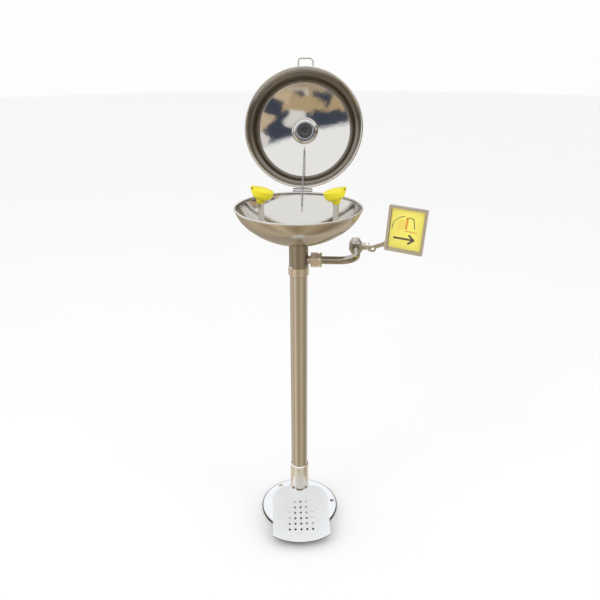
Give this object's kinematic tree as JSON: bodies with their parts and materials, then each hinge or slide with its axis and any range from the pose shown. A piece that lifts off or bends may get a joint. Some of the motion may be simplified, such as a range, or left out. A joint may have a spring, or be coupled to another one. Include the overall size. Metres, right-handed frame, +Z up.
{
  "type": "pedestal eye and face wash station",
  "caption": "Pedestal eye and face wash: stainless bowl under a hinged lid, capped nozzles, push-plate valve and foot pedal on a floor flange.",
  "frame": {"origin": "on the floor, on the axis of the post, in the middle of the base flange's bolt circle", "axes": "+Z up the post, -Y towards the user, +Y towards the lid's hinge, +X towards the push plate"},
  "size_m": [0.4518, 0.4321, 1.1731],
  "materials": {
    "brushed_steel": "satin brushed stainless tube",
    "polished_steel": "polished stainless plate with a rounded rim",
    "bright_nut": "bright turned stainless",
    "cast_steel": "cast stainless, bead blasted, worn bright on the edges",
    "plate_steel": "brushed stainless sheet",
    "bowl_steel": "spun stainless, brushed outside and polished inside",
    "lid_steel": "spun stainless, polished dome and brushed wall",
    "mirror_steel": "mirror polished stainless",
    "pedal_steel": "pressed stainless sheet, polished and scuffed",
    "chain_steel": "bright steel links",
    "dark_metal": "dark blackened metal",
    "black_rubber": "moulded rubber",
    "white_plastic": "moulded plastic",
    "yellow_plastic": "moulded yellow plastic",
    "label_yellow": "printed vinyl label"
  },
  "bodies": {
    "stand": {"base_flange": "polished_steel", "post": "brushed_steel", "lower_fitting": "brushed_steel", "upper_collar": "brushed_steel", "upper_tee": "brushed_steel", "water_manifold": "brushed_steel", "riser_tube": "brushed_steel", "union_nut": "bright_nut", "union_gasket": "black_rubber", "side_pipe": "brushed_steel", "valve_body": "cast_steel", "valve_end_cap": "cast_steel", "ball_seats": "white_plastic", "stem_packing_nut": "bright_nut", "bowl": "bowl_steel", "bowl_wall": "bowl_steel", "drain_gasket": "black_rubber", "drain_strainer": "mirror_steel", "nozzle_yoke": "mirror_steel", "nozzle_left": "yellow_plastic", "nozzle_right": "yellow_plastic", "spray_head_left": "white_plastic", "spray_head_right": "white_plastic", "cap_pins": "dark_metal", "hinge_leaf_bowl": "plate_steel", "hinge_pin": "bright_nut", "hinge_rivets_bowl": "bright_nut", "chain_eye_bowl": "bright_nut", "check_chain": "chain_steel", "pedal_bracket": "plate_steel", "pedal_pins": "bright_nut", "foot_valve_body": "cast_steel", "foot_valve_screws": "bright_nut", "foot_valve_outlet": "brushed_steel", "plunger_spring": "bright_nut"},
    "lid": {"lid": "lid_steel", "lid_plug": "dark_metal", "lid_handle": "bright_nut", "hinge_leaf_lid": "plate_steel", "hinge_rivets_lid": "bright_nut", "chain_eye_lid": "bright_nut"},
    "left_cap": {"dust_cap_left": "yellow_plastic"},
    "right_cap": {"dust_cap_right": "yellow_plastic"},
    "push_handle": {"valve_ball": "mirror_steel", "valve_stem": "bright_nut", "handle_lever": "bright_nut", "lever_nut": "bright_nut", "push_plate": "plate_steel", "push_label": "label_yellow", "plate_rivets": "bright_nut"},
    "pedal": {"foot_pedal": "pedal_steel"},
    "foot_plunger": {"plunger": "bright_nut"}
  },
  "joints": [
    {"name": "lid_hinge", "type": "hinge", "parent": "stand", "child": "lid", "pos_m": [0, 0.1545, 0.8633], "axis": [-1, 0, 0], "range_deg": [-105, 0], "deforming": ["check_chain"]},
    {"name": "left_cap_hinge", "type": "hinge", "parent": "stand", "child": "left_cap", "pos_m": [-0.10485, 0, 0.90519], "axis": [0, -1, 0], "range_deg": [0, 110]},
    {"name": "right_cap_hinge", "type": "hinge", "parent": "stand", "child": "right_cap", "pos_m": [0.10485, 0, 0.90519], "axis": [0, 1, 0], "range_deg": [0, 110]},
    {"name": "push_handle_turn", "type": "hinge", "parent": "stand", "child": "push_handle", "pos_m": [0.137, 0.11, 0.734], "axis": [-1, 0, 0], "range_deg": [0, 90]},
    {"name": "pedal_press", "type": "hinge", "parent": "stand", "child": "pedal", "pos_m": [0.00167, -0.01591, 0.067], "axis": [0.9945, 0.1045, 0], "range_deg": [0, 5], "stiffness_Nm_per_rad": 8, "springref_deg": -11.46},
    {"name": "plunger_slide", "type": "slide", "parent": "stand", "child": "foot_plunger", "axis": [0, 0, -1], "range_m": [0, 0.0041], "deforming": ["plunger_spring"]}
  ],
  "couplings": [
    {"joint": "plunger_slide", "follows": "pedal_press", "m_per_rad": 0.046}
  ]
}
